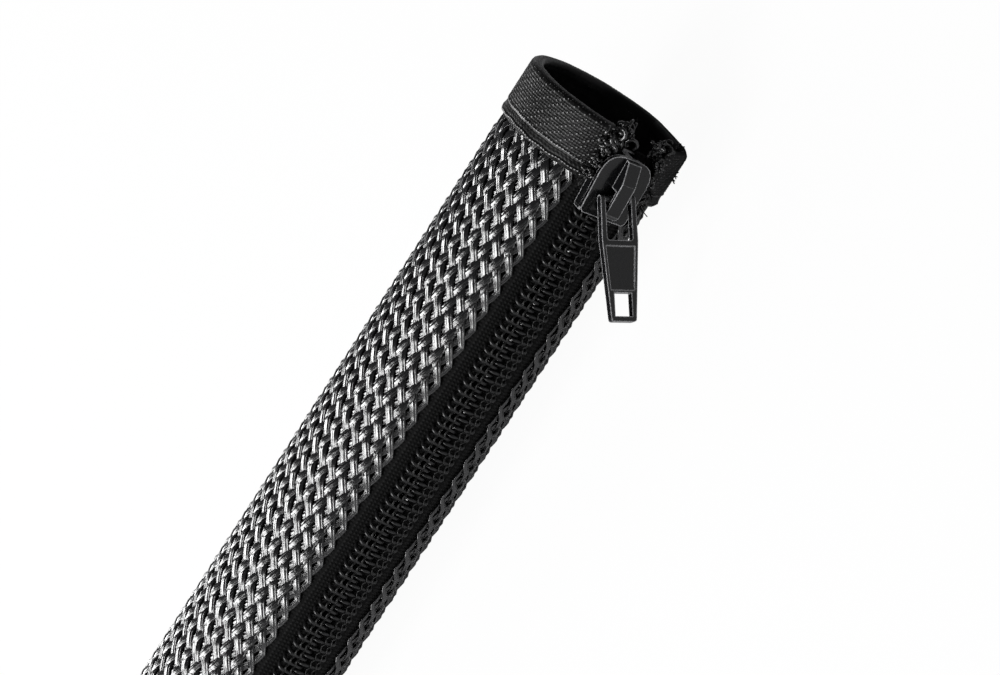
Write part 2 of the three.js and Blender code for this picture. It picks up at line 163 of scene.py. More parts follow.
def tinted(nodes, links, source, shader, dark, light):
    mix = nodes.new("ShaderNodeMix")
    mix.data_type = "RGBA"
    mix.inputs["A"].default_value = (*dark, 1)
    mix.inputs["B"].default_value = (*light, 1)
    links.new(source, mix.inputs["Factor"])
    links.new(mix.outputs["Result"], shader.inputs["Base Color"])


def grainAt(nodes, links, scale, stretch=(1, 1, 1), detail=3.0):
    coords = nodes.new("ShaderNodeTexCoord")
    mapping = nodes.new("ShaderNodeMapping")
    mapping.inputs["Scale"].default_value = stretch
    links.new(coords.outputs["Object"], mapping.inputs["Vector"])
    grain = nodes.new("ShaderNodeTexNoise")
    grain.inputs["Scale"].default_value = scale
    grain.inputs["Detail"].default_value = detail
    links.new(mapping.outputs["Vector"], grain.inputs["Vector"])
    return grain.outputs["Fac"]


def bumped(nodes, links, shader, height, strength, distance):
    bump = nodes.new("ShaderNodeBump")
    bump.inputs["Strength"].default_value = strength
    bump.inputs["Distance"].default_value = distance
    links.new(height, bump.inputs["Height"])
    links.new(bump.outputs["Normal"], shader.inputs["Normal"])


def filamentFinish():
    # fine filaments side by side: the grooves and streaks run along each bundle
    material, nodes, links, shader = startMaterial("black filament", (0.006, 0.006, 0.0065), 0.2)
    shader.inputs["IOR"].default_value = 1.58
    shader.inputs["Specular IOR Level"].default_value = 0.7
    shader.inputs["Coat Weight"].default_value = 0.8
    shader.inputs["Coat Roughness"].default_value = 0.12
    bundle = nodes.new("ShaderNodeAttribute")
    bundle.attribute_name = "alongBundle"
    drawn = nodes.new("ShaderNodeMapping")
    drawn.inputs["Scale"].default_value = (7, 0.4, 1)
    links.new(bundle.outputs["Vector"], drawn.inputs["Vector"])
    streaks = nodes.new("ShaderNodeTexNoise")
    streaks.inputs["Scale"].default_value = 1
    streaks.inputs["Detail"].default_value = 3
    links.new(drawn.outputs["Vector"], streaks.inputs["Vector"])
    varied(nodes, links, streaks.outputs["Fac"], shader.inputs["Roughness"], 0.14, 0.3)
    tinted(nodes, links, streaks.outputs["Fac"], shader, (0.002, 0.002, 0.0025), (0.008, 0.008, 0.0085))
    grooves = nodes.new("ShaderNodeTexWave")
    grooves.inputs["Scale"].default_value = 1.45
    grooves.inputs["Distortion"].default_value = 0.5
    grooves.inputs["Detail"].default_value = 1
    links.new(bundle.outputs["Vector"], grooves.inputs["Vector"])
    bumped(nodes, links, shader, grooves.outputs["Fac"], 0.45, 0.00005)
    return material


def webbingFinish():
    # spun-black yarn, with a painted highlight on the crowns of the weave and painted shade down between them
    material, nodes, links, shader = startMaterial("webbing yarn", (0.004, 0.004, 0.004), 0.4)
    shader.inputs["Specular IOR Level"].default_value = 0.3
    shader.inputs["Sheen Weight"].default_value = 0.02
    shader.inputs["Sheen Roughness"].default_value = 0.4
    fuzz = grainAt(nodes, links, 3200, detail=4)
    crown = nodes.new("ShaderNodeAttribute")
    crown.attribute_name = "yarnHeight"
    # painted highlight: by the yarn's height, the crowns are tinted near white and the hollows stay near
    # black as painted shade
    crownHighlight = nodes.new("ShaderNodeMapRange")
    crownHighlight.inputs["From Min"].default_value = 0.6
    crownHighlight.inputs["From Max"].default_value = 0.98
    links.new(crown.outputs["Fac"], crownHighlight.inputs["Value"])
    speckledHighlight = nodes.new("ShaderNodeMath")
    speckledHighlight.operation = "MULTIPLY"
    links.new(crownHighlight.outputs["Result"], speckledHighlight.inputs[0])
    links.new(fuzz, speckledHighlight.inputs[1])
    tinted(nodes, links, speckledHighlight.outputs["Value"], shader, (0.001, 0.001, 0.001), (0.85, 0.85, 0.86))
    varied(nodes, links, fuzz, shader.inputs["Roughness"], 0.28, 0.55)
    bumped(nodes, links, shader, fuzz, 0.3, 0.00006)
    return material


def threadFinish(name, light, specular):
    material, nodes, links, shader = startMaterial(name, (0.004, 0.004, 0.004), 0.45)
    shader.inputs["Specular IOR Level"].default_value = specular
    fuzz = grainAt(nodes, links, 4200, detail=3)
    tinted(nodes, links, fuzz, shader, (0.002, 0.002, 0.002), (light, light, light))
    varied(nodes, links, fuzz, shader.inputs["Roughness"], 0.35, 0.6)
    bumped(nodes, links, shader, fuzz, 0.4, 0.00006)
    return material


def meltedFinish():
    # yarn run together into shiny beads
    material, nodes, links, shader = startMaterial("melted yarn", (0.006, 0.006, 0.006), 0.2)
    shader.inputs["Coat Weight"].default_value = 0.6
    shader.inputs["Coat Roughness"].default_value = 0.1
    lumps = grainAt(nodes, links, 1400, detail=4)
    tinted(nodes, links, lumps, shader, (0.003, 0.003, 0.003), (0.014, 0.014, 0.0145))
    varied(nodes, links, lumps, shader.inputs["Roughness"], 0.12, 0.36)
    bumped(nodes, links, shader, lumps, 0.5, 0.0001)
    return material


def tapeFinish():
    # a twill tape: fine ribs across, finer ones along
    material, nodes, links, shader = startMaterial("zipper tape", (0.005, 0.005, 0.005), 0.75)
    shader.inputs["Specular IOR Level"].default_value = 0.15
    shader.inputs["Sheen Weight"].default_value = 0.02
    shader.inputs["Sheen Roughness"].default_value = 0.45
    coords = nodes.new("ShaderNodeTexCoord")
    heights = []
    for scale, direction in ((520, "X"), (430, "Z")):
        wave = nodes.new("ShaderNodeTexWave")
        wave.bands_direction = direction
        wave.inputs["Scale"].default_value = scale
        wave.inputs["Distortion"].default_value = 0.6
        wave.inputs["Detail"].default_value = 1.5
        links.new(coords.outputs["Object"], wave.inputs["Vector"])
        heights.append(wave.outputs["Fac"])
    weave = nodes.new("ShaderNodeMath")
    weave.operation = "MULTIPLY"
    links.new(heights[0], weave.inputs[0])
    links.new(heights[1], weave.inputs[1])
    tinted(nodes, links, weave.outputs["Value"], shader, (0.002, 0.002, 0.002), (0.009, 0.009, 0.0092))
    bumped(nodes, links, shader, weave.outputs["Value"], 0.8, 0.00015)
    return material


def coilFinish():
    material, nodes, links, shader = startMaterial("coil nylon", (0.006, 0.006, 0.0065), 0.3)
    patches = grainAt(nodes, links, 1200)
    varied(nodes, links, patches, shader.inputs["Roughness"], 0.26, 0.45)
    tinted(nodes, links, patches, shader, (0.004, 0.004, 0.0042), (0.01, 0.01, 0.0105))
    bumped(nodes, links, shader, grainAt(nodes, links, 4000, detail=2), 0.15, 0.00005)
    return material


def paintFinish():
    # black coat over cast metal: a fine cast grain, with a painted highlight along the edges
    material, nodes, links, shader = startMaterial("satin black coat", (0.008, 0.008, 0.0085), 0.3)
    shader.inputs["Specular IOR Level"].default_value = 0.3
    shader.inputs["Coat Weight"].default_value = 0.6
    shader.inputs["Coat Roughness"].default_value = 0.08
    grain = grainAt(nodes, links, 2400, detail=4)
    varied(nodes, links, grain, shader.inputs["Roughness"], 0.16, 0.34)
    # painted highlight: where the bevelled normal turns away from the face, the colour is lifted towards
    # light grey along the edges
    edge = nodes.new("ShaderNodeBevel")
    edge.samples = 6
    edge.inputs["Radius"].default_value = 0.0003
    face = nodes.new("ShaderNodeNewGeometry")
    alike = nodes.new("ShaderNodeVectorMath")
    alike.operation = "DOT_PRODUCT"
    links.new(edge.outputs["Normal"], alike.inputs[0])
    links.new(face.outputs["True Normal"], alike.inputs[1])
    edgeHighlight = nodes.new("ShaderNodeMapRange")
    edgeHighlight.inputs["From Min"].default_value = 0.985
    edgeHighlight.inputs["From Max"].default_value = 0.9
    links.new(alike.outputs["Value"], edgeHighlight.inputs["Value"])
    speckledHighlight = nodes.new("ShaderNodeMath")
    speckledHighlight.operation = "MULTIPLY"
    links.new(edgeHighlight.outputs["Result"], speckledHighlight.inputs[0])
    links.new(grain, speckledHighlight.inputs[1])
    tinted(nodes, links, speckledHighlight.outputs["Value"], shader, (0.003, 0.003, 0.0035), (0.9, 0.9, 0.92))
    bumped(nodes, links, shader, grain, 0.3, 0.00005)
    return material


def springFinish():
    material, nodes, links, shader = startMaterial("spring strip", (0.5, 0.5, 0.51), 0.3, 1.0)
    brushed = grainAt(nodes, links, 1500, stretch=(0.1, 1, 1))
    varied(nodes, links, brushed, shader.inputs["Roughness"], 0.22, 0.42)
    tinted(nodes, links, brushed, shader, (0.42, 0.42, 0.43), (0.58, 0.58, 0.59))
    bumped(nodes, links, shader, brushed, 0.15, 0.00005)
    return material


finishes = dict(
    filament=filamentFinish(),
    webbing=webbingFinish(),
    thread=threadFinish("sewing thread", 0.01, 0.35),
    seamThread=threadFinish("seam thread", 0.16, 0.6),
    melted=meltedFinish(),
    tape=tapeFinish(),
    coil=coilFinish(),
    paint=paintFinish(),
    spring=springFinish(),
)
print("materials made")

# camera and light
view = dict(
    axisInPicture=(0.546, 0.838),  # the way the tube runs up the picture
    tilt=math.radians(13),  # mouth towards the camera
    zipperTurn=math.radians(34),  # zipper turned right from facing the camera
    rimInPicture=(610.0, 107.0),
    pictureSize=(1000, 675),
    pixelsPerMm=6.55,
    distance=800.0,
    sensor=36.0,
)


def aimCamera():
    along = view["axisInPicture"]
    tilt, roll = view["tilt"], view["zipperTurn"]
    axis = np.array([along[0] * math.cos(tilt), along[1] * math.cos(tilt), math.sin(tilt)])
    right = np.array([along[1], -along[0], 0])
    toward = np.array([-along[0] * math.sin(tilt), -along[1] * math.sin(tilt), math.cos(tilt)])
    out = math.cos(roll) * toward + math.sin(roll) * right
    down = math.cos(roll) * right - math.sin(roll) * toward
    # rows are the picture's right, up and back directions, in the frame's X, Y and Z
    turned = np.stack([axis, -out, -down], axis=1)
    width, height = view["pictureSize"]
    rim = np.array([rimX, axisY, axisZ])
    offset = (np.array(view["rimInPicture"]) - (width / 2, height / 2)) / view["pixelsPerMm"]
    spot = rim - offset[0] * turned[0] + offset[1] * turned[1] + view["distance"] * turned[2]
    data = bpy.data.cameras.new("camera")
    data.sensor_width = view["sensor"]
    data.lens = view["pixelsPerMm"] * view["distance"] * view["sensor"] / width
    camera = bpy.data.objects.new("camera", data)
    bpy.context.scene.collection.objects.link(camera)
    pose = Matrix(turned.T.tolist()).to_4x4()
    pose.translation = Vector(spot * mm)
    camera.matrix_world = pose
    bpy.context.scene.camera = camera
    return turned, spot


cameraAxes, cameraSpot = aimCamera()

lamps = dict(
    # degrees round the tube from the camera's side, lean to the mouth, distance and size in mm, brightness
    front=(-10, -40, 760, 300, 13.0),
    left=(-50, -38, 760, 340, 18.0),
    back=(-118, -30, 760, 320, 12.0),
    edges=(-22, -12, 760, 110, 14.0),
    right=(42, 24, 760, 160, 8.0),
)
surround = dict(color=(0.93, 0.94, 0.96), onCloth=0.1, inGloss=0.06)


def lightStage():
    scene = bpy.context.scene
    target = Vector(np.array([rimX - 45, axisY, axisZ]) * mm)
    along = np.array([1.0, 0.0, 0.0])
    facing = cameraAxes[2] - along * cameraAxes[2][0]
    facing = facing / np.linalg.norm(facing)
    sideways = np.cross(facing, along)
    if sideways @ cameraAxes[0] < 0:
        sideways = -sideways
    for name, (around, lean, distance, size, brightness) in lamps.items():
        around, lean = math.radians(around), math.radians(lean)
        level = math.cos(around) * facing + math.sin(around) * sideways
        way = math.cos(lean) * level + math.sin(lean) * along
        data = bpy.data.lights.new(name, "AREA")
        data.shape = "SQUARE"
        data.size = size * mm
        data.energy = brightness * math.pi * (size * mm) ** 2
        lamp = bpy.data.objects.new(name, data)
        lamp.location = target + Vector(way * distance * mm)
        lamp.rotation_euler = (target - lamp.location).to_track_quat("-Z", "Y").to_euler()
        scene.collection.objects.link(lamp)
    world = bpy.data.worlds.new("studio")
    scene.world = world
    world.use_nodes = True
    nodes, links = world.node_tree.nodes, world.node_tree.links
    background = nodes["Background"]
    background.inputs["Color"].default_value = (*surround["color"], 1)
    seen = nodes.new("ShaderNodeLightPath")
    glossy = nodes.new("ShaderNodeMath")
    glossy.operation = "MAXIMUM"
    links.new(seen.outputs["Is Glossy Ray"], glossy.inputs[0])
    links.new(seen.outputs["Is Transmission Ray"], glossy.inputs[1])
    level = nodes.new("ShaderNodeMapRange")
    level.inputs["To Min"].default_value = surround["onCloth"]
    level.inputs["To Max"].default_value = surround["inGloss"]
    links.new(glossy.outputs["Value"], level.inputs["Value"])
    bright = nodes.new("ShaderNodeMath")
    bright.operation = "MAXIMUM"
    links.new(level.outputs["Result"], bright.inputs[0])
    links.new(seen.outputs["Is Camera Ray"], bright.inputs[1])
    links.new(bright.outputs["Value"], background.inputs["Strength"])
    scene.view_settings.view_transform = "Standard"


def layFloor():
    half = 6.0
    mesh = bpy.data.meshes.new("floor")
    corners = [(-half, -half, 0), (half, -half, 0), (half, half, 0), (-half, half, 0)]
    mesh.from_pydata(corners, [], [(0, 1, 2, 3)])
    floor = bpy.data.objects.new("floor", mesh)
    floor.location.z = -0.0002
    bpy.context.scene.collection.objects.link(floor)
    material, nodes, links, shader = startMaterial("pale floor", (0.34, 0.34, 0.345), 0.7)
    shader.inputs["Specular IOR Level"].default_value = 0.1
    glow = nodes.new("ShaderNodeEmission")
    glow.inputs["Strength"].default_value = 1.03
    seen = nodes.new("ShaderNodeLightPath")
    share = nodes.new("ShaderNodeMath")
    share.operation = "MULTIPLY"
    share.inputs[1].default_value = 0.93
    links.new(seen.outputs["Is Camera Ray"], share.inputs[0])
    blend = nodes.new("ShaderNodeMixShader")
    links.new(share.outputs["Value"], blend.inputs["Fac"])
    links.new(shader.outputs["BSDF"], blend.inputs[1])
    links.new(glow.outputs["Emission"], blend.inputs[2])
    links.new(blend.outputs["Shader"], nodes["Material Output"].inputs["Surface"])
    mesh.materials.append(material)


lightStage()
layFloor()
print("camera, lamps and floor set")

# the woven tube
wall = dict(radius=13.5, edgeAngle=math.radians(28.06), chord=12.0)
webbingDepth = 9.2  # how far down from the rims the webbing reaches
braid = dict(
    columns=78,  # crossings round the tube, edge to edge
    repeat=3.41,  # along the tube, from one bundle to the next
    lead=(0.4, 0.6),  # share of the repeat for each crossing, going away from the zipper and coming back
    bundleWidth=1.38,
    filaments=3,
    filamentHeight=0.18,
    crown=0.08,  # how much higher the middle filament lies
    longFloat=(-0.28, -0.06, 0.12, 0.23, 0.3, 0.1, -0.28),  # heights from one dip to the next
    shortFloat=(0.31, 0.12, -0.14, -0.28, -0.25, -0.08, 0.31),
    sway=(-0.03, -0.23),  # sideways sway of the long and the short floats, in columns
    bed=-0.49,  # middle of the bundles, from the tube's outer face
    edgeInset=0.25,
    edgeTuck=0.5,
    edgeReach=2.2,  # how far from the zipper's edges the bundles start to sink and narrow
    edgeNarrow=0.3,
    samples=2,  # points to each crossing
    neck=-0.35,  # how far the webbing squeezes the braid in
    neckRun=2.6,
    webbingReach=6.2,  # from the rim to where the bundles start
    groups=4,
)


def bundleSection():
    # round filaments side by side, the middle one proud, over a flat underside
    width = braid["bundleWidth"] / braid["filaments"]
    middle = (braid["filaments"] - 1) / 2
    section = [(-braid["bundleWidth"] / 2, -0.13)]
    for k in range(braid["filaments"]):
        left = k * width - braid["bundleWidth"] / 2
        high = braid["filamentHeight"] - braid["crown"] * abs(k - middle) / middle
        section += [(left + 0.2 * width, high), (left + 0.8 * width, high), (left + width, 0.1)]
    section[-1] = (braid["bundleWidth"] / 2, -0.13)
    return np.array(section)[::-1]


def bundlePath(number, length):
    # one bundle's way up the tube, turning back at each edge of the zipper
    samples, columns, repeat = braid["samples"], braid["columns"], braid["repeat"]
    away, back = braid["lead"]
    turns = np.arange(7) * columns
    reached = np.concatenate([[0], np.cumsum([away, back] * 3)]) * columns * repeat
    start, stop = np.interp([number * repeat, number * repeat + length], reached, turns)
    travelled = np.arange(math.ceil(start * samples), math.floor(stop * samples) + 1) / samples
    x = np.interp(travelled, turns, reached) - number * repeat
    folded = travelled % (2 * columns)
    column = np.where(folded > columns, 2 * columns - folded, folded)
    rising = folded < columns
    # over two and under one going away from the zipper, over one and under two coming back
    inRepeat = (column % 3) * 2
    floats = (np.interp(inRepeat, np.arange(7), braid[side]) for side in ("longFloat", "shortFloat"))
    height = np.where(rising, *floats)
    height = height * np.clip(np.minimum(column, columns - column), 0, 1)
    sway = np.where(rising, *braid["sway"]) * np.sin(turn * column / 3)
    return x, column + sway, height


def weaveTube():
    arc = wall["radius"] * (turn - 2 * wall["edgeAngle"])
    startX = endX + braid["webbingReach"]
    length = rimX - endX - 2 * braid["webbingReach"]
    section = bundleSection()
    for group in range(braid["groups"]):
        points, faces, count, strands = [], [], 0, []
        for number in range(group, braid["columns"], braid["groups"]):
            x, column, height = bundlePath(number, length)
            wander = np.interp(x, np.linspace(0, length, 40), rng.normal(0, 0.035, 40))
            across = column / braid["columns"] * (arc - 2 * braid["edgeInset"]) + braid["edgeInset"] + wander
            nearEdge = np.clip(1 - np.minimum(across, arc - across) / braid["edgeReach"], 0, 1)
            tuck = braid["edgeTuck"] * nearEdge ** 2
            fromEnd = np.minimum(x, length - x) + braid["webbingReach"] - webbingDepth
            squeeze = braid["neck"] * np.clip(1 - fromEnd / braid["neckRun"], 0, 1) ** 1.5
            angle = wall["edgeAngle"] + across / wall["radius"]
            offset = braid["bed"] + height - tuck + squeeze + rng.normal(0, 0.012, len(x))
            path = wallPlace(startX + x, angle, offset)
            lift = place(0 * x, np.cos(angle), np.sin(angle)) - place(0 * x, 0, 0)
            along = unit(np.gradient(path, axis=0))
            side = unit(np.cross(along, lift))
            lift = np.cross(side, along)
            wide = (1 + 0.04 * rng.normal()) * (1 - braid["edgeNarrow"] * nearEdge)[:, None, None]
            rings = path[:, None] + side[:, None] * section[:, :1] * wide + lift[:, None] * section[:, 1:]
            run = np.concatenate([[0], np.cumsum(np.linalg.norm(np.diff(path, axis=0), axis=1))])
            strand = np.broadcast_arrays(section[:, 0], run[:, None], number * 3.7)
            strands.append(np.stack(strand, axis=-1).reshape(-1, 3))
            points.append(rings.reshape(-1, 3))
            faces += ringFaces(len(path), len(section), count)
            count += rings.shape[0] * rings.shape[1]
        replaced = ("braided_sleeve",) if group == 0 else ()
        name = f"woven_bundles_{group + 1}"
        layers = {"alongBundle": np.vstack(strands)}
        points = np.vstack(points)
        addMesh(name, points, faces, "sleeve", finishes["filament"], replaced, layers)


seam = dict(
    # the stitching that holds the tube to the tapes: one line along each side of the zipper
    fromEdge=2.35,
    pitch=0.36,
    thread=0.2,
    proud=0.02,
    dip=0.5,  # how far it sinks where it passes under a bundle
)


def sewEdges():
    arcStart = wall["edgeAngle"] + seam["fromEdge"] / wall["radius"]
    x = np.arange(endX + webbingDepth, rimX - webbingDepth, seam["pitch"] / 2)
    for name, side in (("seam_upper", 1), ("seam_lower", -1)):
        wave = np.sin(x / braid["repeat"] * turn + side)
        offset = seam["proud"] - seam["dip"] * np.clip(wave * 2 + 0.3, 0, 1)
        offset = offset + 0.05 * np.cos(x / seam["pitch"] * turn)
        drift = 0.02 * np.sin(x / 31) + 0.006 * rng.normal(0, 1, len(x))
        path = wallPlace(x, side * (arcStart + drift), offset)
        thickness = seam["thread"] * (1 + 0.3 * np.cos(x / seam["pitch"] * turn))
        points, faces = roundThread(path, thickness, 6)
        addMesh(name, points, faces, "sleeve", finishes["seamThread"])


weaveTube()
sewEdges()
print("tube woven and its edges sewn")

# coils and the chain stitches that hold them
chain = dict(
    pitch=1.5,
    filament=0.6,
    base=11.35,
    height=1.65,
    outer=3.08,
    head=-0.42,
    start=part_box("zipper_coil_upper")[0].x / mm,
    end=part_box("zipper_coil_upper")[1].x / mm,
    stitchRow=(1.25, 2.35),
    thread=0.2,
)


def windCoil(name, side, node):
    low = chain["base"] + chain["filament"] / 2
    high = chain["base"] + chain["height"] - chain["filament"] / 2
    middle = (low + high) / 2
    shift = 0 if side > 0 else chain["pitch"] / 2
    points = []
    for k in range(int((chain["end"] - chain["start"] - 1.2) / chain["pitch"])):
        x = chain["start"] + shift + 0.55 + k * chain["pitch"]
        turnPoints = (
            (-0.42, chain["outer"] - 0.1, low),
            (-0.2, 1.5, low),
            (-0.06, 0.2, low + 0.05),
            (0.0, chain["head"], middle),
            (0.06, 0.2, high - 0.05),
            (0.18, 1.5, high),
            (0.36, chain["outer"] - 0.1, high),
            (0.7, chain["outer"] + 0.1, middle),
        )
        points += [(x + along, level, side * across) for along, across, level in turnPoints]
    points = np.array(points)
    path = softened(place(points[:, 0], points[:, 1], points[:, 2]), 2)
    wide = np.full(len(path), chain["filament"])
    mesh, faces = tubeFrame(path, wide, 6)
    addMesh(name, mesh, faces, "sleeve", finishes["coil"], (node,))


def tubeFrame(path, thickness, sides, start=0):
    # a round thread whose section is carried along the path without twisting
    along = unit(np.gradient(path, axis=0))
    lift = np.zeros_like(path)
    seed = np.array([1.0, 0.3, 0.2])
    current = unit(seed - along[0] * (seed @ along[0]))
    for i in range(len(path)):
        current = current - along[i] * (current @ along[i])
        current = current / max(np.linalg.norm(current), 1e-9)
        lift[i] = current
    side = np.cross(along, lift)
    angles = np.arange(sides) * turn / sides
    ring = side[:, None] * np.cos(angles)[:, None] + lift[:, None] * np.sin(angles)[:, None]
    points = path[:, None] + ring * np.asarray(thickness)[:, None, None] / 2
    return points.reshape(-1, 3), ringFaces(len(path), sides, start)


def stitchChain(name, side):
    top = chain["base"] + chain["height"]
    points, faces, count = [], [], 0
    for row in chain["stitchRow"]:
        for lean in (-1, 1):
            x = np.arange(chain["start"] + 0.6, chain["end"] - 0.6, chain["pitch"] / 6)
            phase = (x - chain["start"]) / chain["pitch"] * turn
            out = top + 0.02 + 0.1 * np.cos(phase + 0.6 * lean)
            up = side * (row + lean * 0.16 * np.sin(phase + lean))
            mesh, added = roundThread(place(x, out, up), chain["thread"], 4, count)
            points.append(mesh)
            faces += added
            count += len(mesh)
    addMesh(name, np.vstack(points), faces, "sleeve", finishes["thread"])


windCoil("coil_upper", 1, "zipper_coil_upper")
windCoil("coil_lower", -1, "zipper_coil_lower")
stitchChain("chain_stitch_upper", 1)
stitchChain("chain_stitch_lower", -1)
print("zipper chain wound and stitched")

# webbing folded over the ends
webbing = dict(
    outside=webbingDepth,
    inside=8.4,
    standOff=0.45,
    proud=0.5,  # how far the folded edge stands out past the solid
    lining=-1.55,
    yarns=(0.52, 0.44),  # round the tube and along it
    relief=0.17,
    liningRelief=0.06,
    gapHalf=5.1,
    border=1.75,  # the open-woven border above the lower edge
)


def webbingProfile():
    # across the webbing: from its outer lower edge over the rim to its inner lower edge
    fold = (webbing["standOff"] - webbing["lining"]) / 2
    middle = (webbing["standOff"] + webbing["lining"]) / 2
    step = webbing["yarns"][1] / 3
    down = np.arange(webbing["outside"], fold, -step)
    bend = np.linspace(math.pi / 2, -math.pi / 2, int(math.pi * fold / step / 1.3))
    back = np.arange(fold + 2 * step, webbing["inside"], 2 * step)
    fromRim = np.concatenate([down, fold * (1 - np.cos(bend)), back])
    outer, inner = down * 0 + webbing["standOff"], back * 0 + webbing["lining"]
    offset = np.concatenate([outer, middle + fold * np.sin(bend), inner])
    travelled = np.concatenate([[0], np.cumsum(np.hypot(np.diff(fromRim), np.diff(offset)))])
    tangent = unit(np.stack([np.gradient(fromRim), np.gradient(offset)], axis=-1))
    return fromRim, offset, travelled, np.stack([-tangent[:, 1], tangent[:, 0]], axis=-1)


def wovenRelief(around, across):
    # how far each yarn stands out: one hump to each crossing, every other one a little prouder
    wide, tall = webbing["yarns"]
    u = around / wide + 0.06 * np.sin(across * 2.1)
    v = across / tall + 0.1 * np.sin(around * 0.7)
    hump = np.abs(np.sin(math.pi * u)) ** 1.3 * (0.12 + 0.88 * np.abs(np.sin(math.pi * v)) ** 1.3)
    prouder = 1 + 0.1 * np.sign(np.sin(math.pi * u) * np.sin(math.pi * v))
    relief = webbing["relief"] * hump * prouder * (0.85 + 0.15 * np.sin(around * 3.1 + across * 5.3))
    # the border: a rolled lower edge, loose loops, and a drawn line above them
    border = webbing["border"]
    loops = 0.08 * np.abs(np.sin(math.pi * around / 0.78 + 1.6 * np.sin(across * 3.2)))
    loops = loops * np.abs(np.sin(math.pi * (across - 0.4) / 0.7))
    inBorder = np.clip((border - across) / 0.15, 0, 1)
    relief = relief * (1 - inBorder) + (loops - 0.04) * inBorder
    relief = relief + 0.2 * np.exp(-((across - 0.16) / 0.17) ** 2) * np.abs(np.sin(math.pi * around / 0.56))
    drawn = 0.12 * np.exp(-((across - border) / 0.1) ** 2)
    groove = 0.08 * np.exp(-((across - border + 0.28) / 0.12) ** 2)
    relief = relief + drawn - groove
    # the fold and the lining are smoother, with one raised line below the rim
    inside = np.clip((across - webbing["outside"] - 0.6) / 1.0, 0, 1)
    line = 0.09 * np.exp(-((across - webbing["outside"] - 2.7) / 0.14) ** 2)
    return relief * (1 - inside * (1 - webbing["liningRelief"] / webbing["relief"])) + line


def foldWebbing(name, node, rim, side, firstAngle, lastAngle, closed):
    fromRim, offset, travelled, facing = webbingProfile()
    step = webbing["yarns"][0] / 3 / (wall["radius"] + webbing["standOff"])
    count = int((lastAngle - firstAngle) / step)
    angles = firstAngle + (lastAngle - firstAngle) * np.arange(count + (0 if closed else 1)) / count
    around = angles * (wall["radius"] + webbing["standOff"])
    a, w = np.meshgrid(around, travelled, indexing="ij")
    relief = wovenRelief(a, w) + rng.normal(0, 0.006, a.shape)
    outFrom = fromRim[None] - webbing["proud"] + facing[None, :, 0] * relief
    outOffset = offset[None] - facing[None, :, 1] * relief
    sag = 0.06 * np.sin(angles * 5 + 1.2) + 0.05 * np.sin(angles * 11)
    # the lower edge wavers a little
    waver = np.clip(1 - w / 3, 0, 1) * (0.12 * np.sin(angles * 7 + 0.5) + 0.08 * np.sin(angles * 23))[:, None]
    angleGrid = np.broadcast_to(angles[:, None], a.shape)
    outOffset = outOffset + sag[:, None]
    shown = wallPlace(rim - side * (outFrom + waver), angleGrid, outOffset, chord=wall["chord"])
    # the hidden inner faces close the band
    hiddenFrom = np.array([webbing["inside"], 1.9, 1.9, webbing["outside"]])
    hiddenOffset = np.array([webbing["lining"] + 0.45, webbing["lining"] + 0.45, -0.15, -0.15])
    hiddenGrid = np.broadcast_to(angles[:, None], (len(angles), 4))
    hidden = wallPlace(rim - side * hiddenFrom[None] + 0 * hiddenGrid, hiddenGrid,
                       hiddenOffset[None] + 0 * hiddenGrid, chord=wall["chord"])
    rings = np.concatenate([shown, hidden], axis=1)
    if not closed:
        rings[..., 2] = clearOfZipper(rings, angles)
    faces = ringFaces(len(rings), rings.shape[1], 0, looped=closed)
    if side < 0:
        faces = [face[::-1] for face in faces]
    # the yarn heights go to the webbing material, which paints its highlight on the crowns from them
    crown = np.zeros(rings.shape)
    crown[:, :len(travelled)] = np.clip(relief / webbing["relief"], 0, 1)[..., None]
    layers = {"yarnHeight": crown.reshape(-1, 3)}
    points = rings.reshape(-1, 3)
    band = addMesh(name, points, faces, "sleeve", finishes["webbing"], (node,), layers)


def clearOfZipper(rings, angles):
    # both cut ends stand square to the zipper, clear of the slider
    up = rings[..., 2] - axisZ
    near = np.minimum(angles, turn - angles)[:, None] < 0.9
    wanted = np.sign(np.sin(angles))[:, None] * webbing["gapHalf"]
    reach = np.abs(up)
    low = webbing["gapHalf"]
    pushed = np.where(near & (reach < low), wanted, up)
    return axisZ + pushed


endAngle = math.atan(webbing["gapHalf"] / (wall["chord"] + webbing["standOff"]))
foldWebbing("mouth_webbing", "mouth_binding", rimX, 1, endAngle, turn - endAngle, False)
foldWebbing("end_webbing", "end_binding", endX, -1, 0, turn, True)
print("webbing folded")

# where the webbing was cut: melted beads, curled yarn and frayed ends
cutEnds = dict(
    # each cluster: centre (from the rim, out, up), size, thickness of yarn, number of curls; in mm
    clusters=(
        ((0.2, 12.2, 3.7), 2.8, 0.62, 18),
        ((1.7, 12.7, 4.4), 2.2, 0.5, 16),
        ((3.6, 12.9, 5.0), 1.5, 0.34, 12),
        ((5.6, 12.9, 5.3), 1.3, 0.3, 10),
        ((7.8, 12.9, 5.5), 1.5, 0.3, 12),
        ((0.4, 11.9, -4.5), 2.4, 0.48, 20),
        ((2.2, 12.6, -4.9), 1.5, 0.34, 12),
        ((5.0, 12.9, -5.2), 1.3, 0.3, 10),
        ((7.8, 13.0, -5.4), 1.5, 0.32, 14),
    ),
    beadSize=0.3,
)


